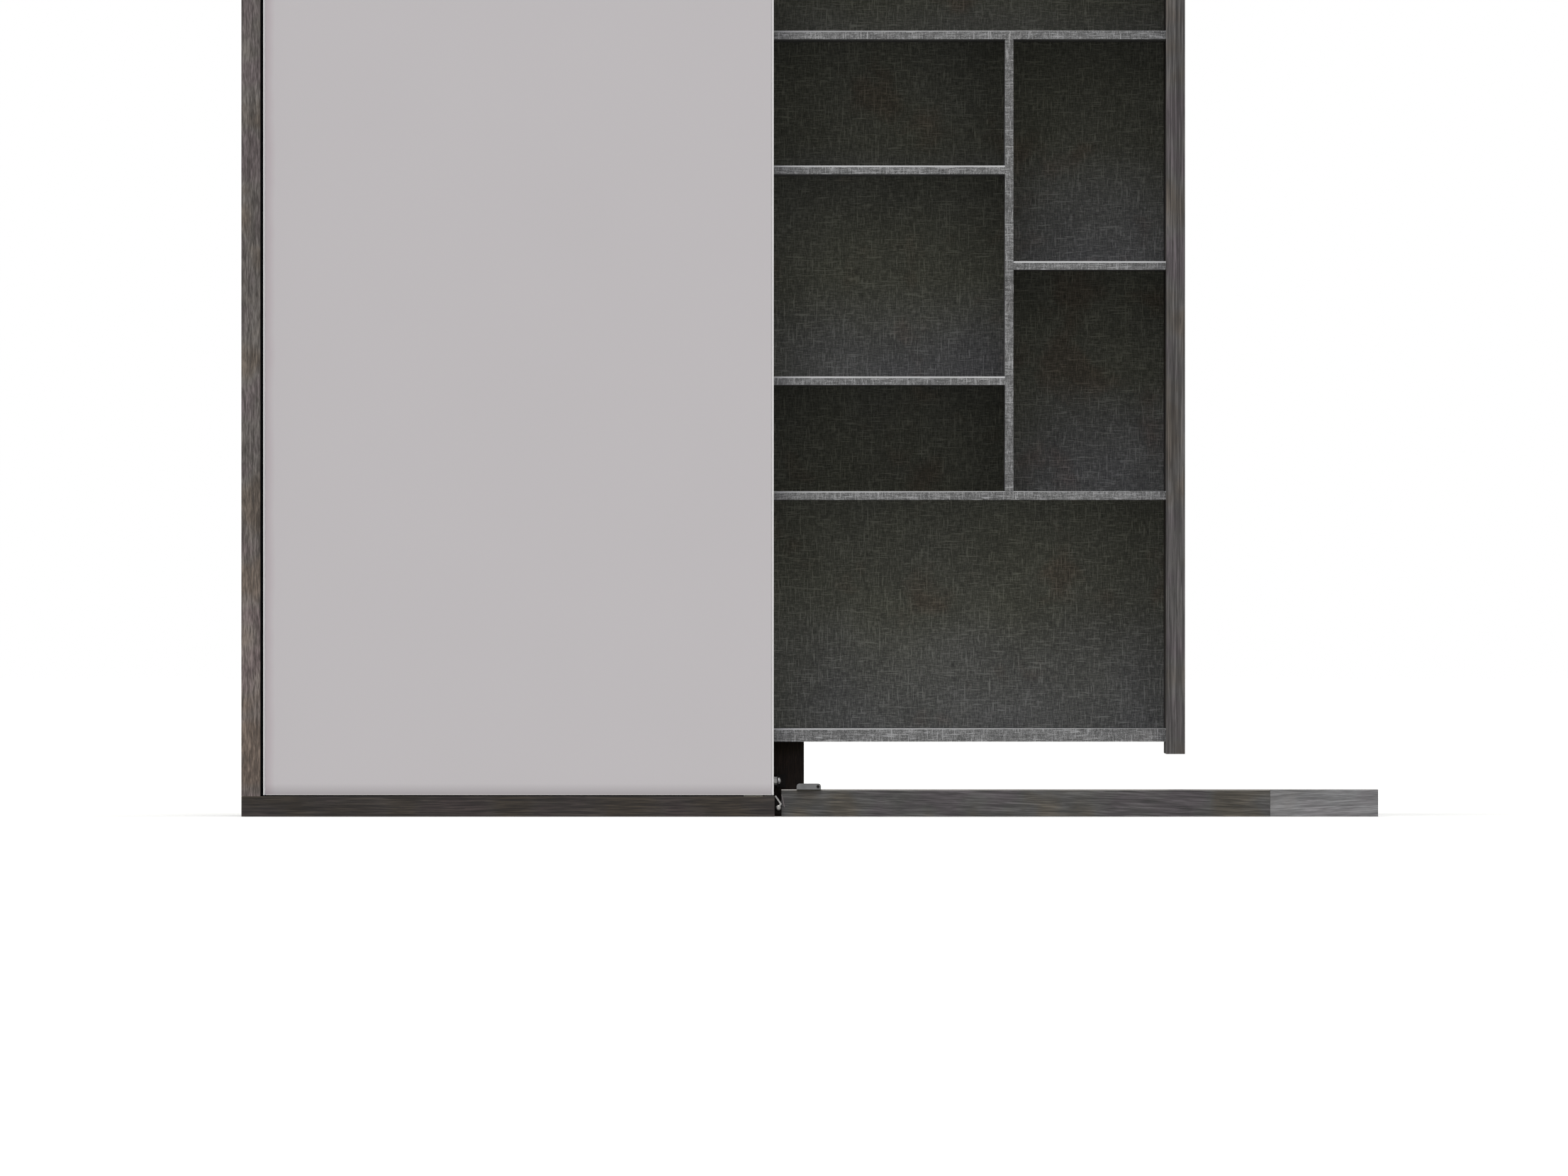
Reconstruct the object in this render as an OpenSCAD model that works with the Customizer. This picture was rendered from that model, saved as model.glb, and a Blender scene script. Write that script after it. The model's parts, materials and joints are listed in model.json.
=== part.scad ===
// Sliding door wardrobe: a closed bay behind one hanging door, a raised open bay with linen
// shelving on its right, and a low floor runner that carries on past the end panel.
// Origin: middle of the overall length, middle of the depth, on the floor.
// +X runs to the right seen from the front, +Y to the back, +Z up. Millimetres.

/* [Overall] */
// Length over the left end panel and the end of the runner
overall_l = 2405; // [2205:1:2605]
// Length over the two end panels
carcass_l = 1996; // [1980:0.5:2010]
// Depth over the end panels
depth = 640; // [620:10:680]
// Height to the top face of the top board
height = 2050; // [2000:5:2400]

/* [Boards] */
// Thickness of both end panels
end_t = 40; // [36:1:44]
// Thickness of the base board
base_h = 43; // [40:1:45]
// Thickness of the top board
top_t = 45; // [40:1:50]
// Thickness of the shelves and the partition
shelf_t = 18; // [16:1:22]
// Thickness of the upright between the two full-width shelves
divider_t = 18; // [16:1:19]
// Thickness of the back panels
back_t = 8; // [6:1:10]
// Set-back of the back panels from the back edge of the end panels
back_recess = 8; // [4:1:12]

/* [Open bay] */
// Height of the underside of the open bay's floor
bay_floor_z = 158.5; // [150:0.5:165]
// Thickness of the open bay's floor
bay_floor_t = 28; // [25:1:30]
// Underside of the right end panel above the floor
right_end_z = 132.5; // [120:0.5:140]
// Underside of the lower full-width shelf
lower_z = 670.5; // [640:0.5:700]
// Underside of the upper full-width shelf
upper_z = 1645.5; // [1620:0.5:1680]
// Underside of the lower short shelf, left of the upright
left_low_z = 913.5; // [880:0.5:950]
// Underside of the upper short shelf, left of the upright
left_high_z = 1360; // [1320:1:1400]
// Underside of the short shelf, right of the upright
right_z = 1157.5; // [1120:0.5:1200]
// Distance from the partition to the upright
divider_offset = 491; // [470:0.5:510]

/* [Door] */
// Width of the door over its edge profiles
door_w = 1080; // [1060:1:1085]
// Thickness of the door
door_t = 24; // [22:1:26]
// Gap between the left end panel and the closed door
door_gap = 6; // [4:0.5:6.5]
// How far the door's face lies behind the front of the end panels
door_recess = 12; // [10:1:14]
// Gap between the base board and the door's bottom edge
door_bottom_gap = 2.5; // [2.2:0.1:3]
// Gap between the door's top edge and the top board
door_top_gap = 4; // [3:0.5:6]
// Visible width of an edge profile
profile_w = 3; // [2.5:0.5:4]
// Width of the shadow groove between an edge profile and the door panel
profile_groove = 2; // [1.5:0.5:2]

/* [Running gear] */
// Radius of a roller
roller_r = 12.5; // [12:0.5:13]
// Width of a roller
roller_w = 8; // [7:1:8]
// Radius of a roller axle
axle_r = 3; // [2.5:0.5:3.5]
// Distance from the middle of a hanger to each of its rollers
roller_reach = 40; // [35:1:45]
// Distance from a door edge to the middle of the nearer hanger
hanger_inset = 90; // [80:1:120]

/* [Floor runner] */
// Height of the runner
runner_h = 57.5; // [55:0.5:58]
// Depth of the runner
runner_d = 80; // [70:1:90]
// Length of the light end piece
runner_end_l = 228.5; // [200:0.5:260]
// Gap between the door's edge and the runner's end, seen from the front
runner_gap = 16; // [15:1:17]

/* [Fittings] */
// Radius of the hanging rail
rail_r = 15; // [12.5:0.5:16]
// Height of the hanging rail's centre line
rail_z = 1690; // [1600:5:1700]
// Underside of the hat shelf
hat_z = 1745; // [1740:5:1800]
// Distance between the two wall brackets
bracket_span = 1600; // [1400:10:1700]

/* [Hidden] */
$fn = 64;

// Planes along X
left_x = -overall_l / 2;
left_in = left_x + end_t;
right_out = left_x + carcass_l;
right_in = right_out - end_t;
door_x0 = left_in + door_gap;
door_x1 = door_x0 + door_w;
bay_x0 = door_x1 - 1.5;
part_x0 = bay_x0 - shelf_t;
div_x0 = bay_x0 + divider_offset;
div_x1 = div_x0 + divider_t;
base_x1 = door_x1 + 2;
block_x1 = bay_x0 + 65.5;
runner_x0 = door_x1 + runner_gap;
runner_x1 = -left_x;
runner_joint = runner_x1 - runner_end_l;

// Planes along Y
front_y = -depth / 2;
rear_y = depth / 2;
door_y0 = front_y + door_recess;
door_y1 = door_y0 + door_t;
bay_y0 = front_y + 80;
back_y1 = rear_y - back_recess;
back_y0 = back_y1 - back_t;
runner_y0 = door_y1 + 9;
runner_y1 = runner_y0 + runner_d;

// Planes along Z
ceiling_z = height - top_t;
bay_floor_top = bay_floor_z + bay_floor_t;
door_z0 = base_h + door_bottom_gap;
door_z1 = ceiling_z - door_top_gap;
panel_x0 = door_x0 + profile_w + profile_groove;
panel_x1 = door_x1 - profile_w - profile_groove;

// Bottom groove of the door, and the fin that runs in it
groove_w = 6;
groove_depth = 12;
groove_y = door_y0 + 12;
fin_t = 5;
guide_x = door_x1 - 43.5;

// Top track and rollers
track_y0 = door_y1 + 2;
track_y1 = door_y1 + 42;
track_h = 40;
track_wall = 3;
flange_w = 20;
track_lip = 2.5;
track_z0 = ceiling_z - track_h;
running_z = track_z0 + track_wall;
roller_gap = 0.3;
axle_z = running_z + roller_gap + roller_r;
roller_y = track_y1 - 12;
bore_clearance = 0.05;
hanger_t = 3;
hanger_w = 120;
hanger_z0 = ceiling_z - 79;
hanger_z1 = ceiling_z - 11;
hanger_y1 = door_y1 + hanger_t;
hanger_xs = [door_x0 + hanger_inset, door_x1 - hanger_inset];
roller_xs = [for (h = hanger_xs) for (s = [-1, 1]) h + s * roller_reach];
travel = right_in - 1 - door_x1;
stop_l = 30;
stop_gap = 1;

// Straightening bars in the back of the door
bar_w = 20;
bar_t = 6;
bar_z = [door_z0 + 60, hanger_z0 - 26];
bar_xs = [door_x0 + 50, door_x1 - 70];

// Catch lever beside the base board
lever_x = door_x1 + 10;
lever_z = 19;
lever_y = front_y + 28;
lever_boss_r = 5.4;
lever_rod_r = 1.6;
lever_elbow = [5, 8];
lever_tip = [-5.8, 24];
pivot_r = 2.5;
plate_y0 = lever_y + 6;

// Tie bolt in front of the support block
bolt_y = runner_y1 - 33;
bolt_z = 75.5;
bolt_r = 4;
lug_x0 = door_x1 + 7.5;
lug_t = 2;

// Guide shoe on the runner
shoe_x = [door_x1 + 48.5, door_x1 + 100];
shoe_r = 6.2;
shoe_y = [door_y1 + 3, door_y1 + 29];
shoe_z = runner_h + shoe_r;
shoe_pin_x = shoe_x[1] - shoe_r;

// Wooden dowels
dowel_r = 4;
dowel_ys = [-180, 40, 250];
part_mid = part_x0 + shelf_t / 2;
upright_dowels = [
    [left_x + end_t / 2, base_h], [part_mid, base_h],
    [left_x + end_t / 2, ceiling_z], [part_mid, ceiling_z], [right_in + end_t / 2, ceiling_z],
    [(bay_x0 + block_x1) / 2, bay_floor_z],
    [div_x0 + divider_t / 2, lower_z + shelf_t], [div_x0 + divider_t / 2, upper_z]
];
// Each entry: joint plane along X, height, +1 where the shelf lies on its right
shelf_joints = [
    [left_in, hat_z, 1], [part_x0, hat_z, -1],
    [bay_x0, lower_z, 1], [right_in, lower_z, -1],
    [bay_x0, upper_z, 1], [right_in, upper_z, -1],
    [bay_x0, left_low_z, 1], [div_x0, left_low_z, -1],
    [bay_x0, left_high_z, 1], [div_x0, left_high_z, -1],
    [div_x1, right_z, 1], [right_in, right_z, -1],
    [bay_x0, bay_floor_z + 5, 1], [right_in, bay_floor_z + 5, -1]
];

// Wall brackets on the top board
bracket_w = 40;
bracket_t = 2.5;
bracket_up = 35;
bracket_hole_r = 2.75;
bracket_hole_z = height + 20;
bracket_mid = (left_x + right_out) / 2;
bracket_xs = [bracket_mid - bracket_span / 2, bracket_mid + bracket_span / 2];

// Colours
OAK = [0.33, 0.31, 0.29];
OAK_DARK = [0.20, 0.18, 0.16];
OAK_BLACK = [0.11, 0.09, 0.08];
OAK_LIGHT = [0.46, 0.45, 0.45];
LINEN = [0.27, 0.27, 0.27];
LACQUER = [0.74, 0.72, 0.72];
ALUMINIUM = [0.80, 0.80, 0.80];
STEEL = [0.62, 0.62, 0.62];
BLACK = [0.08, 0.08, 0.08];
GREY = [0.42, 0.42, 0.42];
NYLON = [0.88, 0.88, 0.85];
BEECH = [0.78, 0.64, 0.45];

// A board between two planes along each axis
module board(x, y, z) {
    translate([x[0], y[0], z[0]]) cube([x[1] - x[0], y[1] - y[0], z[1] - z[0]]);
}

// A cylinder of length l along X, Y or Z, starting at a point
module rod_x(p, r, l) { translate(p) rotate([0, 90, 0]) cylinder(r = r, h = l); }
module rod_y(p, r, l) { translate(p) rotate([-90, 0, 0]) cylinder(r = r, h = l); }
module rod_z(p, r, l) { translate(p) cylinder(r = r, h = l); }

// A profile drawn in Y and Z, extruded along X
module along_x(x) {
    translate([x[0], 0, 0]) rotate([90, 0, 90]) linear_extrude(x[1] - x[0]) children();
}

// An outline drawn in X and Z, extruded along Y
module along_y(y) {
    translate([0, y[1], 0]) rotate([90, 0, 0]) linear_extrude(y[1] - y[0]) children();
}

// ---- Carcass ----

module left_end_panel() {
    color(OAK) board([left_x, left_in], [front_y, rear_y], [base_h, ceiling_z]);
}

module right_end_panel() {
    color(OAK) board([right_in, right_out], [front_y, rear_y], [right_end_z, ceiling_z]);
}

module top_board() {
    color(OAK) board([left_x, right_out], [front_y, rear_y], [ceiling_z, height]);
}

// The base board's front reaches past the support block's left face, so its end is stepped
module base_board() {
    color(OAK_DARK) union() {
        board([left_x, bay_x0], [front_y, rear_y], [0, base_h]);
        board([bay_x0, base_x1], [front_y, runner_y1], [0, base_h]);
    }
}

module centre_partition() {
    color(LINEN) board([part_x0, bay_x0], [bay_y0, back_y0], [base_h, ceiling_z]);
}

module left_back_panel() {
    color(LINEN) board([left_in, part_mid - 0.5], [back_y0, back_y1], [base_h, ceiling_z]);
}

module open_back_panel() {
    color(LINEN) board([part_mid + 0.5, right_in], [back_y0, back_y1], [bay_floor_z, ceiling_z]);
}

// A linen board of the open bay, from x to x, with its underside at z
module bay_board(x, z, t = shelf_t) {
    color(LINEN) board(x, [bay_y0, back_y0], [z, z + t]);
}

module open_bay_floor() { bay_board([bay_x0, right_in], bay_floor_z, bay_floor_t); }
module lower_shelf() { bay_board([bay_x0, right_in], lower_z); }
module upper_shelf() { bay_board([bay_x0, right_in], upper_z); }
module left_shelf_low() { bay_board([bay_x0, div_x0], left_low_z); }
module left_shelf_high() { bay_board([bay_x0, div_x0], left_high_z); }
module right_shelf() { bay_board([div_x1, right_in], right_z); }

module bay_divider() {
    color(LINEN) board([div_x0, div_x1], [bay_y0, back_y0], [lower_z + shelf_t, upper_z]);
}

module support_block() {
    color(OAK_BLACK) board([bay_x0, block_x1], [runner_y1, back_y0], [0, bay_floor_z]);
}

module hat_shelf() {
    color(LINEN) board([left_in, part_x0], [bay_y0 + 4, back_y0], [hat_z, hat_z + shelf_t]);
}

module carcass_dowels() {
    color(BEECH) for (d = upright_dowels, y = dowel_ys) {
        rod_z([d[0], y, d[1] - 12], dowel_r, 24);
    }
}

// Each dowel goes 8 into the upright and 16 into the shelf
module shelf_dowels() {
    color(BEECH) for (j = shelf_joints, y = dowel_ys) {
        rod_x([j[2] > 0 ? j[0] - 8 : j[0] - 16, y, j[1] + shelf_t / 2], dowel_r, 24);
    }
}

// ---- Hanging rail ----

module hanging_rail() {
    color(STEEL) difference() {
        rod_x([left_in + 4, 0, rail_z], rail_r, part_x0 - left_in - 8);
        rod_x([left_in, 0, rail_z], rail_r - 1.5, part_x0 - left_in);
    }
}

// A flanged cup standing on a wall at x; side is +1 where the rail lies on its right
module rail_socket(x, side) {
    translate([x, 0, rail_z]) rotate([0, side * 90, 0]) difference() {
        union() {
            cylinder(r = rail_r + 12, h = 4);
            cylinder(r = rail_r + 3, h = 16);
        }
        translate([0, 0, 4]) cylinder(r = rail_r + bore_clearance, h = 20);
        for (s = [-1, 1]) translate([0, s * (rail_r + 7.5), -1]) cylinder(r = 2, h = 8);
    }
}

module rail_sockets() {
    color(STEEL) {
        rail_socket(left_in, 1);
        rail_socket(part_x0, -1);
    }
}

module rail_screws() {
    color(STEEL) for (s = [-1, 1]) {
        rod_x([left_in - 14, s * (rail_r + 7.5), rail_z], 2, 18);
        rod_x([part_x0 - 4, s * (rail_r + 7.5), rail_z], 2, 18);
    }
}

// ---- Top track ----

// Track section: top web, back wall, and a running flange with a lip at its front edge
module track_section() {
    polygon([
        [track_y0, ceiling_z], [track_y1, ceiling_z],
        [track_y1, track_z0], [track_y1 - flange_w, track_z0],
        [track_y1 - flange_w, running_z + track_lip], [track_y1 - flange_w + 2, running_z + track_lip],
        [track_y1 - flange_w + 2, running_z], [track_y1 - track_wall, running_z],
        [track_y1 - track_wall, ceiling_z - track_wall], [track_y0, ceiling_z - track_wall]
    ]);
}

track_screw_xs = [for (i = [0:7]) left_in + 60 + i * (right_in - left_in - 120) / 7];

module top_track() {
    color(ALUMINIUM) difference() {
        along_x([left_in + 2, right_in - 2]) track_section();
        for (x = track_screw_xs) rod_z([x, track_y0 + 10, ceiling_z - 4], 2.2, 6);
    }
}

module track_screws() {
    color(STEEL) for (x = track_screw_xs) {
        rod_z([x, track_y0 + 10, ceiling_z - track_wall - 2], 4, 2);
        rod_z([x, track_y0 + 10, ceiling_z - track_wall], 2.2, 24);
    }
}

// Rubber buffers on the running flange, just clear of the end rollers at both ends of the travel
module track_stops() {
    first = roller_xs[0] - roller_r - stop_gap;
    last = roller_xs[3] + travel + roller_r + stop_gap;
    color(BLACK) for (x = [[first - stop_l, first], [last, last + stop_l]]) {
        board(x, [track_y1 - flange_w + 3, track_y1 - track_wall - 1], [running_z, running_z + 20]);
    }
}

// ---- Floor guide and dust seal ----

guide_screw_xs = [guide_x - 12, guide_x + 12];
guide_z1 = base_h + 1.2;

module door_guide() {
    color(NYLON) difference() {
        union() {
            board([guide_x - 20, guide_x + 20], [groove_y - 4, door_y1 + 36], [base_h, guide_z1]);
            board([guide_x - 20, guide_x + 20],
                  [groove_y - fin_t / 2, groove_y + fin_t / 2], [base_h, door_z0 + groove_depth - 2]);
            board([guide_x - 20, guide_x + 20], [door_y1 + 6, door_y1 + 36], [base_h, base_h + 5]);
        }
        for (x = guide_screw_xs) rod_z([x, door_y1 + 21, base_h - 1], 2, 8);
    }
}

module guide_screws() {
    color(STEEL) for (x = guide_screw_xs) {
        rod_z([x, door_y1 + 21, base_h - 18], 2, 23);
        rod_z([x, door_y1 + 21, base_h + 5], 4, 2);
    }
}

// Brush strip behind the gap between the left end panel and the door
module dust_seal() {
    color(BLACK) board([left_in, left_in + 8], [door_y1 + 2, door_y1 + 10], [base_h, track_z0 - 4]);
}

// ---- Floor runner ----

module runner_board() {
    color(OAK) board([runner_x0, runner_joint], [runner_y0, runner_y1], [0, runner_h]);
}

module runner_end() {
    color(OAK_LIGHT) board([runner_joint, runner_x1], [runner_y0, runner_y1], [0, runner_h]);
}

// Two dowels across the joint of the runner, and two from the runner into the support block
module runner_dowels() {
    color(BEECH) {
        for (y = [runner_y0 + 20, runner_y1 - 20]) {
            rod_x([runner_joint - 25, y, runner_h / 2], 5, 50);
        }
        for (x = [block_x1 - 12, block_x1 - 34]) {
            rod_y([x, runner_y1 - 25, runner_h / 2], 5, 50);
        }
    }
}

// A loaf-shaped shoe, round at its upper corners, that steadies the back of the door
module guide_shoe() {
    color(GREY) difference() {
        along_y(shoe_y) union() {
            translate([shoe_x[0] + shoe_r, shoe_z]) circle(r = shoe_r);
            translate([shoe_x[1] - shoe_r, shoe_z]) circle(r = shoe_r);
            translate([shoe_x[0] + shoe_r, runner_h])
                square([shoe_x[1] - shoe_x[0] - 2 * shoe_r, 2 * shoe_r]);
            translate([shoe_x[0], runner_h]) square([shoe_x[1] - shoe_x[0], shoe_r]);
        }
        rod_y([shoe_pin_x, shoe_y[0] - 1, shoe_z], 2, 22);
    }
}

module shoe_pin() {
    color(STEEL) {
        rod_y([shoe_pin_x, shoe_y[0], shoe_z], 2, 20);
        rod_y([shoe_pin_x, shoe_y[0] - 1, shoe_z], 3.2, 1);
    }
}

// ---- Tie bolt and catch lever ----

// An angle on the block's front face with a lug standing forward for the bolt
module bolt_bracket() {
    color(BLACK) difference() {
        union() {
            board([lug_x0, lug_x0 + lug_t], [bolt_y - 14, runner_y1], [bolt_z - 14, bolt_z + 14]);
            board([lug_x0, lug_x0 + 18], [runner_y1 - 2, runner_y1], [bolt_z - 14, bolt_z + 14]);
        }
        rod_x([lug_x0 - 1, bolt_y, bolt_z], bolt_r + 0.2, lug_t + 2);
        for (s = [-1, 1]) rod_y([lug_x0 + 12, runner_y1 - 3, bolt_z + s * 8], 1.8, 4);
    }
}

module bracket_screws() {
    color(STEEL) for (s = [-1, 1]) {
        rod_y([lug_x0 + 12, runner_y1 - 2, bolt_z + s * 8], 1.8, 18);
        rod_y([lug_x0 + 12, runner_y1 - 2.8, bolt_z + s * 8], 3, 0.8);
    }
}

// Bolt along X: domed head on the right of the lug, shank through lug and nut
module tie_bolt() {
    shank_l = 8 + lug_t;
    color(STEEL) translate([lug_x0 - 8, bolt_y, bolt_z]) rotate([0, 90, 0]) rotate_extrude() {
        square([bolt_r, shank_l + 1]);
        intersection() {
            translate([0, shank_l - 3.5]) circle(r = 9);
            translate([0, shank_l]) square([7, 6]);
        }
    }
}

module tie_nut() {
    color(STEEL) translate([lug_x0, bolt_y, bolt_z]) rotate([0, -90, 0]) difference() {
        cylinder(r = 8.7, h = 7, $fn = 6);
        translate([0, 0, -1]) cylinder(r = bolt_r, h = 9);
    }
}

// An angle on the base board's end, with a flange that carries the lever's pivot
module latch_plate() {
    color(BLACK) difference() {
        union() {
            board([base_x1, base_x1 + 2], [plate_y0, plate_y0 + 24], [6, 36]);
            board([base_x1 + 2, base_x1 + 13], [plate_y0, plate_y0 + 2], [6, 36]);
        }
        rod_y([lever_x, plate_y0 - 1, lever_z], pivot_r, 4);
    }
}

module lever_pivot() {
    color(STEEL) rod_y([lever_x, lever_y - 2, lever_z], pivot_r, plate_y0 + 2 - lever_y + 2);
}

// A round-ended bar of the lever between two points given in X and Z from the pivot
module lever_bar(from, to) {
    d = to - from;
    translate(from) rotate(atan2(d[1], d[0])) union() {
        circle(r = lever_rod_r);
        translate([0, -lever_rod_r]) square([norm(d), 2 * lever_rod_r]);
        translate([norm(d), 0]) circle(r = lever_rod_r);
    }
}

// A drum-shaped boss with a blind bore from behind, and a bent bar up to the base board's edge
module catch_lever() {
    color(STEEL) translate([lever_x, lever_y, lever_z]) difference() {
        union() {
            along_y([-lever_rod_r, lever_rod_r]) union() {
                lever_bar([1, 2], lever_elbow);
                lever_bar(lever_elbow, lever_tip);
            }
            rotate([-90, 0, 0]) rotate_extrude() polygon([
                [0, -6], [3, -6], [lever_boss_r - 0.8, -4.8], [lever_boss_r, -3],
                [lever_boss_r, 5.5], [0, 5.5]
            ]);
        }
        rod_y([0, -2.5, 0], pivot_r + bore_clearance, 12);
    }
}

// A thin slanted strip on the runner's front face, which the turned lever leans on
module keeper_plate() {
    top_x = runner_x0;
    foot_x = runner_x0 + 5.5;
    color(STEEL) along_y([runner_y0 - 1.2, runner_y0]) polygon([
        [top_x, 46], [top_x + 2, 46], [foot_x + 2, 20], [foot_x, 20]
    ]);
}

// ---- Wall brackets ----

module wall_brackets() {
    color(STEEL) for (x = bracket_xs) difference() {
        union() {
            board([x - bracket_w / 2, x + bracket_w / 2], [rear_y - 55, rear_y],
                  [height, height + bracket_t]);
            board([x - bracket_w / 2, x + bracket_w / 2], [rear_y - bracket_t, rear_y],
                  [height, height + bracket_up]);
        }
        rod_y([x, rear_y - bracket_t - 1, bracket_hole_z], bracket_hole_r, bracket_t + 2);
        for (s = [-1, 1]) rod_z([x + s * 11, rear_y - 32, height - 1], 2.2, bracket_t + 2);
    }
}

module wall_bracket_screws() {
    color(STEEL) for (x = bracket_xs, s = [-1, 1]) {
        rod_z([x + s * 11, rear_y - 32, height - 25], 2.2, 25 + bracket_t);
        rod_z([x + s * 11, rear_y - 32, height + bracket_t], 4, 2);
    }
}

// ---- Door ----

// Panel with a guide groove in its bottom edge and two grooves in its back for the bars
module door_panel() {
    color(LACQUER) difference() {
        board([panel_x0, panel_x1], [door_y0, door_y1], [door_z0, door_z1]);
        board([panel_x0 - 1, panel_x1 + 1], [groove_y - groove_w / 2, groove_y + groove_w / 2],
              [door_z0 - 1, door_z0 + groove_depth]);
        for (x = bar_xs) board([x, x + bar_w], [door_y1 - bar_t, door_y1 + 1], bar_z);
    }
}

// Edge profile drawn from the door's outer edge towards its panel: a flat wall and a set-back web
module door_edge(x, side) {
    color(ALUMINIUM) translate([x, 0, 0]) mirror([side > 0 ? 0 : 1, 0, 0]) union() {
        board([0, profile_w], [door_y0, door_y1], [door_z0, door_z1]);
        board([profile_w, profile_w + profile_groove], [door_y0 + 3, door_y1], [door_z0, door_z1]);
    }
}

module door_edge_left() { door_edge(door_x0, 1); }
module door_edge_right() { door_edge(door_x1, -1); }

module door_stiffeners() {
    color(ALUMINIUM) for (x = bar_xs) board([x, x + bar_w], [door_y1 - bar_t, door_y1], bar_z);
}

hanger_screw_offsets = [-48, -16, 16, 48];
hanger_screw_z = hanger_z0 + 16;

module hanger(x) {
    color(STEEL) difference() {
        board([x - hanger_w / 2, x + hanger_w / 2], [door_y1, hanger_y1], [hanger_z0, hanger_z1]);
        for (s = [-1, 1]) rod_y([x + s * roller_reach, door_y1 - 1, axle_z], axle_r, hanger_t + 2);
        for (o = hanger_screw_offsets) rod_y([x + o, door_y1 - 1, hanger_screw_z], 2.5, hanger_t + 2);
    }
}

module hanger_left() { hanger(hanger_xs[0]); }
module hanger_right() { hanger(hanger_xs[1]); }

module hanger_screws() {
    color(STEEL) for (x = hanger_xs, o = hanger_screw_offsets) {
        rod_y([x + o, door_y1 - 14, hanger_screw_z], 2.5, 14 + hanger_t);
        rod_y([x + o, hanger_y1, hanger_screw_z], 4.5, 2);
    }
}

// Axles with a collar against the hanger and a head behind the roller
module wheel_axles() {
    color(STEEL) for (x = roller_xs) {
        rod_y([x, door_y1, axle_z], axle_r, roller_y + roller_w / 2 + 1 - door_y1);
        rod_y([x, hanger_y1, axle_z], axle_r + 2, roller_y - roller_w / 2 - 1 - hanger_y1);
        rod_y([x, roller_y + roller_w / 2 + 1, axle_z], axle_r + 2, 2);
    }
}

// A roller with a raised hub and a recessed web on both faces
module roller(x) {
    half = roller_w / 2;
    color(NYLON) translate([x, roller_y, axle_z]) rotate([90, 0, 0]) rotate_extrude() polygon([
        [axle_r + bore_clearance, -half], [axle_r + 2.5, -half], [axle_r + 3, -half + 1],
        [roller_r - 3, -half + 1], [roller_r - 2.5, -half], [roller_r - 0.5, -half],
        [roller_r, -half + 1], [roller_r, half - 1], [roller_r - 0.5, half],
        [roller_r - 2.5, half], [roller_r - 3, half - 1], [axle_r + 3, half - 1],
        [axle_r + 2.5, half], [axle_r + bore_clearance, half]
    ]);
}

module roller_1() { roller(roller_xs[0]); }
module roller_2() { roller(roller_xs[1]); }
module roller_3() { roller(roller_xs[2]); }
module roller_4() { roller(roller_xs[3]); }

left_end_panel();
right_end_panel();
top_board();
base_board();
centre_partition();
left_back_panel();
open_back_panel();
open_bay_floor();
lower_shelf();
upper_shelf();
bay_divider();
left_shelf_low();
left_shelf_high();
right_shelf();
support_block();
hat_shelf();
hanging_rail();
rail_sockets();
rail_screws();
carcass_dowels();
shelf_dowels();
top_track();
track_screws();
track_stops();
door_guide();
guide_screws();
dust_seal();
runner_board();
runner_end();
runner_dowels();
guide_shoe();
shoe_pin();
bolt_bracket();
bracket_screws();
tie_bolt();
tie_nut();
latch_plate();
lever_pivot();
catch_lever();
keeper_plate();
wall_brackets();
wall_bracket_screws();
door_panel();
door_edge_left();
door_edge_right();
door_stiffeners();
hanger_left();
hanger_right();
hanger_screws();
wheel_axles();
roller_1();
roller_2();
roller_3();
roller_4();
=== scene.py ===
import json
import math

import bpy
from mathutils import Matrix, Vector

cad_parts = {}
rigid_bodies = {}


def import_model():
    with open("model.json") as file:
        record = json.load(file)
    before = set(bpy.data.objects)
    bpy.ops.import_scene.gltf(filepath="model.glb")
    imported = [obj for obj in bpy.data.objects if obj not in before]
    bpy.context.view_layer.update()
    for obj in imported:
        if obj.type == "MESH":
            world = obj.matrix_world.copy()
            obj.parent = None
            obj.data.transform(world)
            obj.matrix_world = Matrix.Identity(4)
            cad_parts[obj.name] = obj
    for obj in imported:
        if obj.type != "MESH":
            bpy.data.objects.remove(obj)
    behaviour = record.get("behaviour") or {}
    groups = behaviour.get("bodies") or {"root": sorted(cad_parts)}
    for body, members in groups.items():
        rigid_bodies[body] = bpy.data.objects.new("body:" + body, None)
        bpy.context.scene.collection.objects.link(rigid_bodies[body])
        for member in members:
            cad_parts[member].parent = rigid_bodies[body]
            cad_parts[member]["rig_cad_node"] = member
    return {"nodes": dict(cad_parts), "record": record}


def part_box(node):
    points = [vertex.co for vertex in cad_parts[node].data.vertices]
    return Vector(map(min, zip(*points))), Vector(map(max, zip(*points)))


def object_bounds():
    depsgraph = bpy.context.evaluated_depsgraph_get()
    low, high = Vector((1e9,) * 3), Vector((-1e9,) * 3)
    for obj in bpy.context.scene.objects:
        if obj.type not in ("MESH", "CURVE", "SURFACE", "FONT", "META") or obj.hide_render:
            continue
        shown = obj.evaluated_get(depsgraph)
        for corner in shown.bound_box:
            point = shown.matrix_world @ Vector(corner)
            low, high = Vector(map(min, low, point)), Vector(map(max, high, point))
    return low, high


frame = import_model()
cad_low, cad_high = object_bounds()
nodes = frame["nodes"]
MM = 0.001

WORLD_LOW = 0.28              # world brightness from below and from above
WORLD_HIGH = 0.82
FLOOR_TONE = 0.72
FLOOR_HALF = 150.0            # metres from the middle of the floor to its edge
VIEW_DISTANCE = 100.0
VIEW_PER_DOOR = 3.07222       # width of the view in door widths
AIM_LEFT = 0.05475            # how far left of the object's middle the camera aims
AIM_HEIGHT = 0.48375


# ---- Places, from the frame ----

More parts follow.
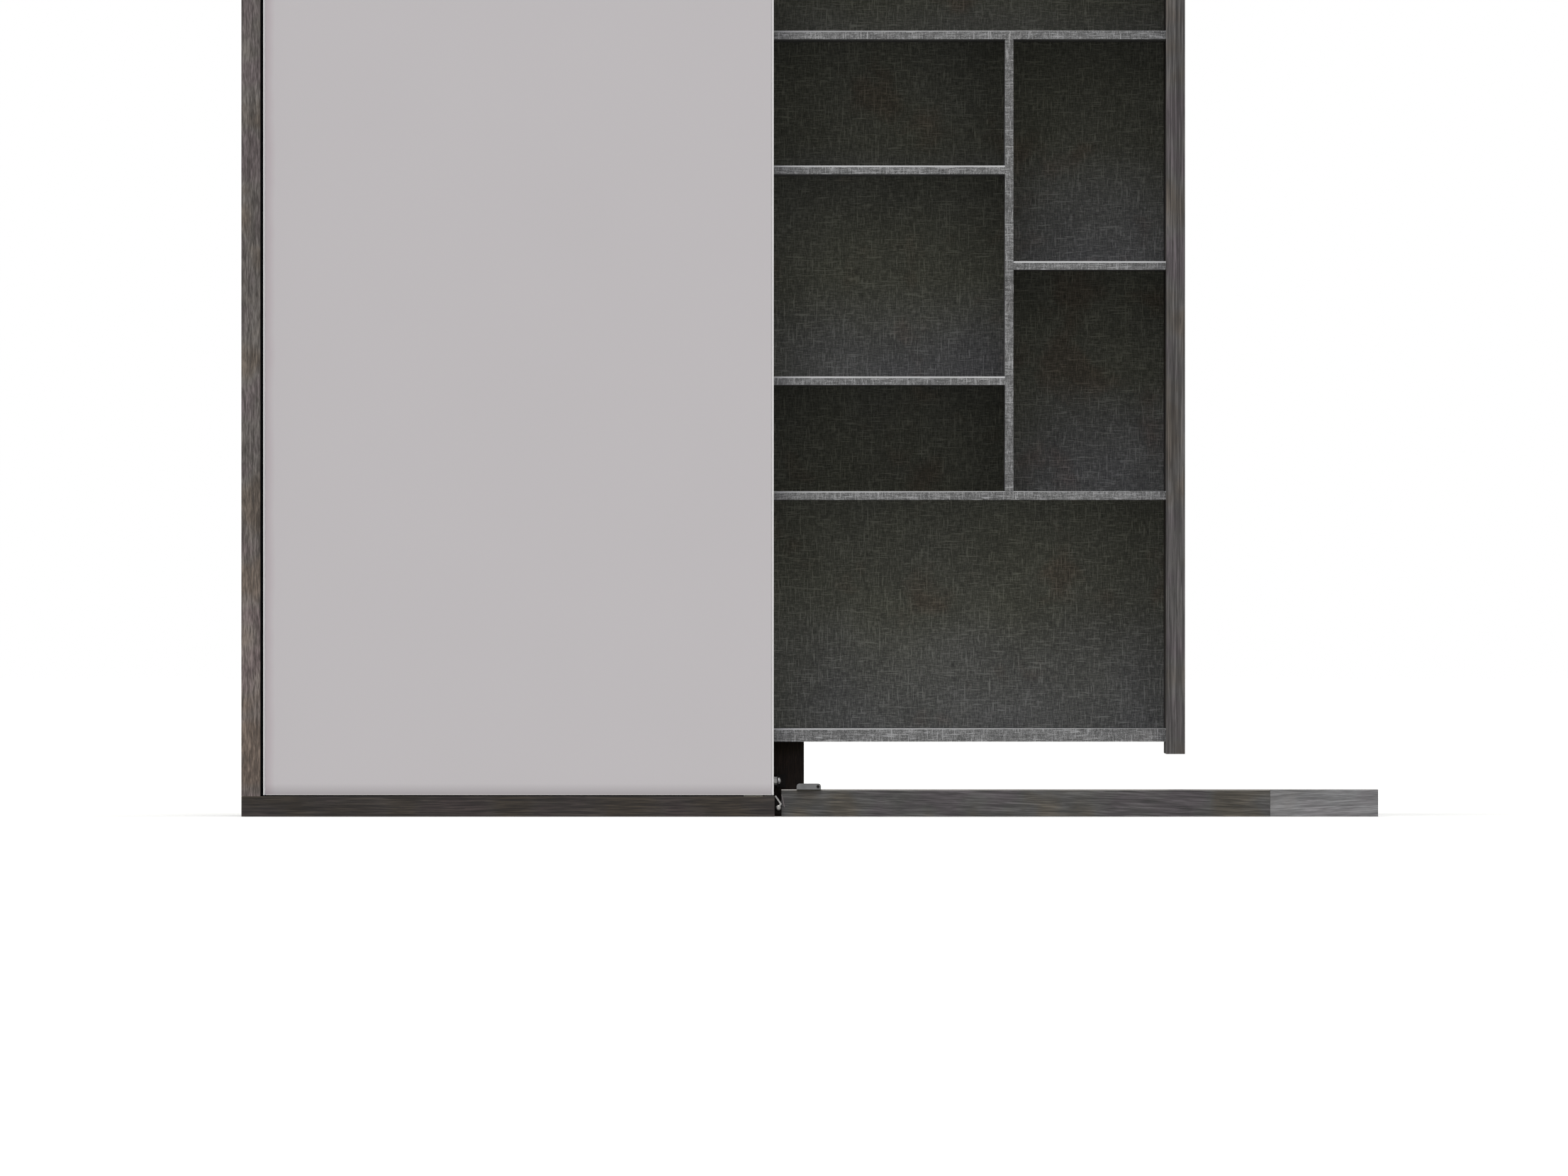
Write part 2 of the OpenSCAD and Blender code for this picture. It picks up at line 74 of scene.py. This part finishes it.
def low(node):
    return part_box(node)[0]


def high(node):
    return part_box(node)[1]


# ---- Node trees ----

def linear(r, g, b):
    """A colour given as 0 to 255 display values, as the linear RGBA that a shader takes."""
    def one(v):
        v = v / 255
        return v / 12.92 if v <= 0.04045 else ((v + 0.055) / 1.055) ** 2.4
    return (one(r), one(g), one(b), 1.0)


class Tree:
    """A material's node tree with short calls for the nodes used here."""

    def __init__(self, name, roughness, metallic=0.0, gloss=0.5):
        self.material = bpy.data.materials.new(name)
        self.material.use_nodes = True
        self.tree = self.material.node_tree
        self.tree.nodes.clear()
        out = self.tree.nodes.new("ShaderNodeOutputMaterial")
        self.bsdf = self.tree.nodes.new("ShaderNodeBsdfPrincipled")
        self.tree.links.new(self.bsdf.outputs[0], out.inputs["Surface"])
        self.bsdf.inputs["Roughness"].default_value = roughness
        self.bsdf.inputs["Metallic"].default_value = metallic
        self.bsdf.inputs["Specular IOR Level"].default_value = gloss
        self.place = self.tree.nodes.new("ShaderNodeTexCoord").outputs["Object"]

    def link(self, value, socket):
        if isinstance(value, bpy.types.NodeSocket):
            self.tree.links.new(value, socket)
        else:
            socket.default_value = value

    def scaled(self, x, y, z, turn=0.0):
        """Object coordinates times a factor along each axis, after a turn about Y in degrees."""
        n = self.tree.nodes.new("ShaderNodeMapping")
        n.vector_type = "TEXTURE"
        n.inputs["Scale"].default_value = (1 / x, 1 / y, 1 / z)
        n.inputs["Rotation"].default_value = (0.0, math.radians(turn), 0.0)
        self.tree.links.new(self.place, n.inputs["Vector"])
        return n.outputs[0]

    def even(self, scale):
        """Object coordinates times one factor along all axes."""
        return self.scaled(scale, scale, scale)

    def moved(self, vector, offset):
        n = self.tree.nodes.new("ShaderNodeVectorMath")
        n.operation = "ADD"
        self.link(vector, n.inputs[0])
        self.link(offset, n.inputs[1])
        return n.outputs[0]

    def noise(self, vector, detail=2.0, roughness=0.5, distortion=0.0):
        n = self.tree.nodes.new("ShaderNodeTexNoise")
        self.link(vector, n.inputs["Vector"])
        n.inputs["Scale"].default_value = 1.0
        n.inputs["Detail"].default_value = detail
        n.inputs["Roughness"].default_value = roughness
        n.inputs["Distortion"].default_value = distortion
        return n.outputs["Fac"]

    def math(self, kind, a, b=0.0):
        n = self.tree.nodes.new("ShaderNodeMath")
        n.operation = kind
        self.link(a, n.inputs[0])
        self.link(b, n.inputs[1])
        return n.outputs[0]

    def plus(self, a, b):
        return self.math("ADD", a, b)

    def minus(self, a, b):
        return self.math("SUBTRACT", a, b)

    def times(self, a, b):
        return self.math("MULTIPLY", a, b)

    def remap(self, value, a, b, c=0.0, d=1.0):
        """The value's range a to b becomes c to d, held at its ends."""
        n = self.tree.nodes.new("ShaderNodeMapRange")
        self.link(value, n.inputs["Value"])
        for socket, number in zip(n.inputs[1:5], (a, b, c, d)):
            socket.default_value = number
        return n.outputs[0]

    def ramp(self, value, *stops):
        """Colour ramp: each stop is (place, linear colour)."""
        n = self.tree.nodes.new("ShaderNodeValToRGB")
        self.link(value, n.inputs[0])
        ends = n.color_ramp.elements
        ends[0].position, ends[0].color = stops[0]
        ends[1].position, ends[1].color = stops[-1]
        for at, colour in stops[1:-1]:
            ends.new(at).color = colour
        return n.outputs[0]

    def mix(self, factor, a, b, kind="MIX"):
        n = self.tree.nodes.new("ShaderNodeMix")
        n.data_type = "RGBA"
        n.blend_type = kind
        self.link(factor, n.inputs[0])
        self.link(a, n.inputs[6])
        self.link(b, n.inputs[7])
        return n.outputs[2]

    def tinted(self, colour, tint):
        return self.mix(1.0, colour, tint, kind="MULTIPLY")

    def split(self, vector):
        n = self.tree.nodes.new("ShaderNodeSeparateXYZ")
        self.tree.links.new(vector, n.inputs[0])
        return n.outputs

    def facing(self, axis):
        """How far the surface faces along one axis, 0 to 1."""
        n = self.tree.nodes.new("ShaderNodeNewGeometry")
        return self.math("ABSOLUTE", self.split(n.outputs["True Normal"])[axis])

    def bump(self, height, strength, distance):
        n = self.tree.nodes.new("ShaderNodeBump")
        n.inputs["Strength"].default_value = strength
        n.inputs["Distance"].default_value = distance
        self.link(height, n.inputs["Height"])
        self.tree.links.new(n.outputs[0], self.bsdf.inputs["Normal"])

    def colour(self, value):
        self.link(value, self.bsdf.inputs["Base Color"])

    def roughness(self, value):
        self.link(value, self.bsdf.inputs["Roughness"])


def stretched(per_metre, along, stretch):
    """Noise cells per metre on each axis, stretched along one of them."""
    cells = [per_metre, per_metre, per_metre]
    cells["xyz".index(along)] = per_metre / stretch
    return cells


# ---- Materials ----

WHITE = linear(255, 255, 255)


def wood(name, along, dark, mid, light, warm, seed, run=1.0, wave=1.2, lean=0.0, foot=None,
         gloss=0.3, cool=linear(250, 240, 250)):
    """Smoked oak with its grain along one axis: growth bands, streaks, fibres and open pores.
    run lengthens the streaks, wave bends the bands and lean tilts the grain in the front's plane.
    warm and cool tint its patches, and foot is a tint that it takes on near the floor."""
    t = Tree(name, roughness=0.55, gloss=gloss)

    def grain(per_metre, stretch):
        cells = t.scaled(*stretched(per_metre, along, stretch), turn=lean)
        return t.moved(cells, (seed, seed * 0.7, seed * 1.3))

    bands = t.noise(grain(42, 9 * run), roughness=0.55, distortion=wave)
    streaks = t.noise(grain(320, 10 * run), detail=3, roughness=0.6, distortion=0.4 * wave)
    fibres = t.noise(grain(560, 10 * run), roughness=0.6)
    pores = t.remap(t.noise(grain(330, 14)), 0.60, 0.70)
    drift = t.noise(t.moved(t.even(9), (seed, 0, 0)))

    tone = t.plus(t.times(bands, 0.22), t.times(streaks, 0.48))
    tone = t.plus(tone, t.times(fibres, 0.30))
    body = t.ramp(tone, (0.40, dark), (0.50, mid), (0.60, light))
    body = t.tinted(body, t.ramp(drift, (0.38, cool), (0.50, WHITE), (0.62, warm)))
    if foot:
        near_floor = t.remap(t.split(t.place)[2], 0.75, 0.35)
        body = t.mix(near_floor, body, t.tinted(body, foot))
    t.colour(t.mix(t.times(pores, 0.6), body, dark))
    t.roughness(t.remap(streaks, 0.3, 0.7, 0.48, 0.66))
    t.bump(t.minus(t.times(fibres, 0.5), t.times(pores, 0.9)), 0.35, 0.4 * MM)
    return t.material


def linen(name, dark, mid, light, olive, rust, seed, fleck=0.22):
    """Linen-look melamine: short crossed threads, brighter slubs, and faint olive and rust clouds.
    fleck is the share of fine grain without a direction."""
    t = Tree(name, roughness=0.62, gloss=0.25)
    t.bsdf.inputs["Sheen Weight"].default_value = 0.08
    start = (seed, seed * 0.6, seed * 1.7)
    flat = t.remap(t.facing(2), 0.5, 0.6)

    def cells(x, y, z, detail):
        return t.noise(t.moved(t.scaled(x, y, z), start), detail=detail, roughness=0.6)

    def weft(fine, run, detail):
        return t.mix(flat, cells(run, run, fine, detail), cells(run, fine, run, detail))

    def warp(fine, run, detail):
        return t.mix(flat, cells(fine, fine, run, detail), cells(fine, run, run, detail))

    slubs = t.math("MAXIMUM", t.remap(weft(380, 26, 1), 0.60, 0.76),
                   t.remap(warp(380, 26, 1), 0.60, 0.76))
    weave = t.noise(t.even(420), detail=3, roughness=0.7)
    cloud = t.noise(t.moved(t.even(9), start), detail=3)

    thread_share = (1 - fleck) / 2
    tone = t.plus(t.times(weft(520, 60, 2), thread_share), t.times(warp(520, 60, 2), thread_share))
    tone = t.plus(tone, t.times(weave, fleck))
    tone = t.plus(tone, t.times(slubs, 0.18))
    tone = t.plus(tone, t.times(t.minus(cloud, 0.5), 0.10))
    body = t.ramp(tone, (0.38, dark), (0.50, mid), (0.64, light))
    greener = t.remap(t.noise(t.moved(t.even(5), start)), 0.30, 0.60, 0.7, 1.0)
    redder = t.remap(t.noise(t.moved(t.even(8), (seed, 9, 4)), detail=3), 0.58, 0.72)
    body = t.mix(greener, body, t.tinted(body, olive))
    t.colour(t.mix(redder, body, t.tinted(body, rust)))
    t.roughness(t.remap(tone, 0.35, 0.65, 0.70, 0.55))
    t.bump(tone, 0.3, 0.4 * MM)
    return t.material


def lacquer_body(name, base, deep):
    """A satin lacquer's tree, and its nearly even, faintly clouded colour."""
    t = Tree(name, roughness=0.42, gloss=0.3)
    cloud = t.noise(t.even(3), detail=3)
    return t, t.mix(t.remap(cloud, 0.3, 0.7), base, deep)


def lacquer_skin(t, body):
    """Gives a lacquer its colour and a fine orange peel."""
    t.colour(body)
    peel = t.noise(t.even(420))
    t.roughness(t.remap(peel, 0.3, 0.7, 0.40, 0.46))
    t.bump(peel, 0.05, 0.3 * MM)
    return t.material


def lacquer(name, base, deep):
    return lacquer_skin(*lacquer_body(name, base, deep))


def door_lacquer(name, base, deep, side, foot, lip):
    """Satin lacquer for the door. side is painted shade along its left border, next to the proud left
    end panel; foot is painted shade darkening its lowest 24 mm, above the base board's proud ledge; lip
    colours a thin lighter line along its lowest edge.
    """
    t, body = lacquer_body(name, base, deep)
    across, _, up = t.split(t.place)
    left, bottom = low("door_panel").x, low("door_panel").z
    ragged = t.times(t.minus(t.noise(t.even(14)), 0.5), 12 * MM)
    # painted shade: the left border is darkened and tinted where the left end panel would shade it
    painted_side_shade = t.remap(t.plus(across, ragged), left + 6 * MM, left + 20 * MM, 0.8, 0.0)
    # painted shade: darker towards the door's foot, where the base board's ledge would shade it
    painted_foot_shade = t.remap(up, bottom + 2 * MM, bottom + 24 * MM, 1.0, 0.0)
    body = t.mix(painted_side_shade, body, side)
    body = t.mix(painted_foot_shade, body, t.tinted(body, foot))
    return lacquer_skin(t, t.mix(t.remap(up, bottom + 1.4 * MM, bottom + 2 * MM, 1.0, 0.0), body, lip))


def metal(name, base, deep, rough, along="x", share=1.0):
    """Brushed or plated metal: fine lines along one axis, with cloudy tarnish."""
    t = Tree(name, roughness=rough, metallic=share)
    lines = t.noise(t.scaled(*stretched(900, along, 40)), detail=3, roughness=0.6)
    tarnish = t.noise(t.even(60), detail=4, roughness=0.6)
    t.colour(t.mix(t.times(t.remap(tarnish, 0.45, 0.75), 0.25), base, deep))
    t.roughness(t.remap(lines, 0.3, 0.7, rough * 0.8, rough * 1.25))
    t.bump(lines, 0.12, 0.2 * MM)
    return t.material


def moulded(name, base, deep, rough, gloss=0.4):
    """Moulded plastic, rubber or powder coat with a fine pebbled skin."""
    t = Tree(name, roughness=rough, gloss=gloss)
    pebble = t.noise(t.even(1500))
    cloud = t.noise(t.even(45), detail=3)
    t.colour(t.mix(t.remap(cloud, 0.35, 0.65), base, deep))
    t.roughness(t.remap(pebble, 0.3, 0.7, rough * 0.85, rough * 1.1))
    t.bump(pebble, 0.2, 0.2 * MM)
    return t.material


materials = {
    "oak_frame": wood("oak_frame", "z", linear(62, 58, 54), linear(91, 86, 82), linear(120, 115, 110),
                      linear(252, 242, 230), 3.0, foot=(1.26, 1.18, 1.16, 1)),
    "oak_frame_top": wood("oak_frame_top", "x", linear(58, 55, 52), linear(86, 82, 79),
                          linear(114, 110, 106), linear(252, 242, 230), 5.0, run=4.0),
    "oak_frame_right": wood("oak_frame_right", "z", linear(52, 50, 49), linear(76, 74, 72),
                            linear(106, 103, 101), linear(250, 240, 228), 7.0, run=5.0, wave=0.4),
    "oak_base": wood("oak_base", "x", linear(30, 26, 24), linear(48, 43, 40), linear(69, 63, 58),
                     linear(248, 242, 224), 11.0, run=3.0),
    # oak_block is dark wood and is also darkened as painted shade for the set-back block under the
    # raised bay
    "oak_block": wood("oak_block", "z", linear(20, 16, 13), linear(30, 24, 20), linear(42, 35, 30),
                      linear(250, 240, 228), 17.0, gloss=0.08),
    "oak_runner": wood("oak_runner", "x", linear(52, 52, 50), linear(74, 73, 71), linear(99, 98, 96),
                       linear(255, 244, 226), 23.0, run=3.0, wave=1.8, lean=2.0),
    "oak_runner_end": wood("oak_runner_end", "x", linear(92, 92, 92), linear(117, 117, 117),
                           linear(142, 142, 142), linear(255, 252, 250), 31.0, run=2.2, wave=1.5,
                           lean=-3.0, cool=linear(254, 250, 252)),
    "linen_board": linen("linen_board", linear(66, 66, 66), linear(101, 101, 101),
                         linear(156, 156, 157), linear(255, 255, 253), linear(255, 253, 252), 5.0,
                         fleck=0.45),
    # A lighter copy of the shelves' linen for the back panels: painted light, standing in for light
    # reaching the compartment backs
    "linen_back_painted_light": linen("linen_back_painted_light", linear(84, 84, 84), linear(114, 114, 114),
                        linear(160, 160, 160), linear(254, 255, 236), linear(255, 240, 236), 13.0),
    # the door's side and foot colours are painted shade along its left border and its foot
    "satin_lacquer": door_lacquer("satin_lacquer", linear(192, 188, 189), linear(191, 187, 188),
                                  linear(182, 172, 175), linear(224, 222, 223),
                                  linear(214, 210, 208)),
    "aluminium_profile": metal("aluminium_profile", linear(226, 224, 223), linear(214, 212, 211),
                               0.45, along="z", share=0.2),
    "bright_steel": metal("bright_steel", linear(214, 212, 208), linear(168, 164, 158), 0.22),
    "zinc_steel": metal("zinc_steel", linear(168, 166, 164), linear(118, 116, 114), 0.42, share=0.6),
    "nut_zinc": metal("nut_zinc", linear(196, 195, 193), linear(150, 148, 146), 0.38, share=0.35),
    "dull_zinc": metal("dull_zinc", linear(112, 105, 104), linear(90, 84, 83), 0.5, share=0.3),
    "black_steel": moulded("black_steel", linear(20, 17, 15), linear(14, 12, 10), 0.6, gloss=0.12),
    # buffer rubber and brush pile: dark parts in their own right, also darkened as painted shade in the
    # slot between the left end panel and the door
    "buffer_rubber": moulded("buffer_rubber", linear(14, 14, 14), linear(9, 9, 9), 0.8),
    "brush_pile": moulded("brush_pile", linear(9, 9, 9), linear(5, 5, 5), 0.95),
    "grey_nylon": moulded("grey_nylon", linear(112, 112, 112), linear(98, 98, 98), 0.5),
    "white_nylon": moulded("white_nylon", linear(226, 225, 220), linear(212, 211, 205), 0.45),
    "beech_dowel": wood("beech_dowel", "x", linear(168, 136, 98), linear(196, 164, 122),
                        linear(216, 186, 146), linear(250, 244, 236), 41.0),
}
# Lighter colours for the facet on the upper front edge: a painted highlight, where light from above
# would catch the edge
painted_edge_highlight = {
    "linen_board": lacquer("linen_edge_highlight", linear(166, 166, 167), linear(142, 142, 143)),
    "oak_runner": lacquer("runner_edge_highlight", linear(150, 147, 143), linear(120, 117, 113)),
    "oak_runner_end": lacquer("runner_end_edge_highlight", linear(160, 159, 158), linear(140, 139, 138)),
}

# Nodes that look a little different from the rest of their material slot; the back panels' lighter linen
# is painted light
VARIANTS = {
    "right_end_panel": "oak_frame_right",
    "top_board": "oak_frame_top",
    "open_back_panel": "linen_back_painted_light",
    "left_back_panel": "linen_back_painted_light",
    "keeper_plate": "dull_zinc",
    "shoe_pin": "black_steel",
    "tie_nut": "nut_zinc",
    "tie_bolt": "nut_zinc",
}
slot_of = {row["node"]: row["material_slot"] for row in frame["record"]["subparts"]}
look_of = {**slot_of, **VARIANTS}
for name, piece in nodes.items():
    piece.data.materials.clear()
    piece.data.materials.append(materials[look_of[name]])
    # the second material is the painted highlight for the upper front edge's facet
    if slot_of[name] in painted_edge_highlight:
        piece.data.materials.append(painted_edge_highlight[slot_of[name]])


# ---- Softened edges on the boards and the door ----

TOUCH = 0.1 * MM              # how near a vertex lies to count as on a face
TALL = 100 * MM               # a board higher than this has no crest
EDGE = {"oak_frame": 0.5 * MM, "oak_base": 0.8 * MM, "oak_block": 1.0 * MM, "oak_runner": 0.8 * MM,
        "oak_runner_end": 0.8 * MM, "linen_board": 0.5 * MM, "satin_lacquer": 0.6 * MM}
# widths of the upper front easing, whose facet carries a painted highlight
CREST = {"oak_runner": 1.8 * MM, "oak_runner_end": 0.6 * MM, "linen_board": 3.2 * MM}


def soften(piece, width, crest=0.0):
    """Rounds the piece's edges a little; crest is the width of a wider easing of its upper front edge,
    whose facet takes the piece's second material, a lighter painted highlight.
    """
    weld = piece.modifiers.new("weld", "WELD")
    weld.merge_threshold = 0.02 * MM
    if crest:
        a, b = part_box(piece["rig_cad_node"])
        group = piece.vertex_groups.new(name="crest")
        group.add([v.index for v in piece.data.vertices
                   if v.co.z > b.z - TOUCH and v.co.y < a.y + TOUCH], 1.0, "ADD")
        ease = piece.modifiers.new("crest", "BEVEL")
        ease.width = crest
        ease.segments = 1
        ease.limit_method = "VGROUP"
        ease.vertex_group = "crest"
        # the facet takes the second material: a lighter painted highlight
        ease.material = 1
    bevel = piece.modifiers.new("bevel", "BEVEL")
    bevel.width = width
    bevel.segments = 2
    bevel.limit_method = "ANGLE"
    bevel.angle_limit = math.radians(60)


for name, piece in nodes.items():
    slot = slot_of[name]
    if slot in EDGE:
        tall = high(name).z - low(name).z > TALL
        soften(piece, EDGE[slot], crest=0.0 if tall else CREST.get(slot, 0.0))
for name in ("door_edge_left", "door_edge_right"):
    soften(nodes[name], 0.5 * MM)


# ---- Stage: floor, light and camera ----

def make_floor():
    mesh = bpy.data.meshes.new("floor")
    corners = [(-1, -1), (1, -1), (1, 1), (-1, 1)]
    mesh.from_pydata([(x * FLOOR_HALF, y * FLOOR_HALF, 0) for x, y in corners], [], [(0, 1, 2, 3)])
    floor = bpy.data.objects.new("floor", mesh)
    bpy.context.scene.collection.objects.link(floor)
    floor.visible_diffuse = False
    floor.visible_glossy = False
    t = Tree("pale_floor", roughness=0.9, gloss=0.0)
    pale = (FLOOR_TONE, FLOOR_TONE, FLOOR_TONE, 1)
    paler = (FLOOR_TONE * 1.02, FLOOR_TONE * 1.02, FLOOR_TONE * 1.02, 1)
    t.colour(t.mix(t.noise(t.even(0.5)), pale, paler))
    mesh.materials.append(t.material)


def make_world():
    """Soft light from all round, brighter from above than from below; plain white behind."""
    world = bpy.data.worlds.new("studio")
    bpy.context.scene.world = world
    world.use_nodes = True
    tree = world.node_tree
    tree.nodes.clear()
    coord = tree.nodes.new("ShaderNodeTexCoord")
    parts = tree.nodes.new("ShaderNodeSeparateXYZ")
    tree.links.new(coord.outputs["Generated"], parts.inputs[0])
    fall = tree.nodes.new("ShaderNodeMapRange")
    tree.links.new(parts.outputs["Z"], fall.inputs["Value"])
    for socket, number in zip(fall.inputs[1:5], (-0.6, 0.8, WORLD_LOW, WORLD_HIGH)):
        socket.default_value = number
    seen = tree.nodes.new("ShaderNodeLightPath")
    strength = tree.nodes.new("ShaderNodeMix")
    tree.links.new(seen.outputs["Is Camera Ray"], strength.inputs[0])
    tree.links.new(fall.outputs[0], strength.inputs[2])
    strength.inputs[3].default_value = 1.0
    tint = tree.nodes.new("ShaderNodeMix")
    tint.data_type = "RGBA"
    tree.links.new(seen.outputs["Is Camera Ray"], tint.inputs[0])
    tint.inputs[6].default_value = (1.0, 1.0, 0.97, 1)
    tint.inputs[7].default_value = (1.0, 1.0, 1.0, 1)
    background = tree.nodes.new("ShaderNodeBackground")
    tree.links.new(tint.outputs[2], background.inputs["Color"])
    tree.links.new(strength.outputs[0], background.inputs["Strength"])
    out = tree.nodes.new("ShaderNodeOutputWorld")
    tree.links.new(background.outputs[0], out.inputs["Surface"])


def make_sun(name, towards, strength, spread, colour):
    """A broad, soft light shining along a direction."""
    data = bpy.data.lights.new(name, "SUN")
    data.energy = strength
    data.angle = math.radians(spread)
    data.color = colour
    lamp = bpy.data.objects.new(name, data)
    lamp.rotation_mode = "QUATERNION"
    lamp.rotation_quaternion = Vector(towards).to_track_quat("-Z", "Y")
    bpy.context.scene.collection.objects.link(lamp)


def make_camera():
    """A very long lens straight at the front, so that the view is an elevation."""
    data = bpy.data.cameras.new("camera")
    camera = bpy.data.objects.new("camera", data)
    bpy.context.scene.collection.objects.link(camera)
    view_width = VIEW_PER_DOOR * (high("door_edge_right").x - low("door_edge_left").x)
    data.sensor_width = 36.0
    data.lens = data.sensor_width * VIEW_DISTANCE / view_width
    data.clip_start = 1.0
    data.clip_end = 400.0
    aim_x = (cad_low.x + cad_high.x) / 2 - AIM_LEFT
    camera.location = (aim_x, low("runner_board").y - VIEW_DISTANCE, AIM_HEIGHT)
    camera.rotation_euler = (math.radians(90), 0, 0)
    bpy.context.scene.camera = camera


make_floor()
make_world()
make_sun("overhead", (0.15, 0.42, -1.0), 2.45, 35, (1.0, 1.0, 0.96))
make_sun("front_fill", (0.05, 0.82, -0.50), 0.36, 20, (0.94, 0.94, 1.42))
make_sun("front_soft", (0.0, 1.0, -0.03), 0.19, 40, (1.0, 1.0, 0.78))
make_camera()
bpy.context.scene.view_settings.view_transform = "Standard"
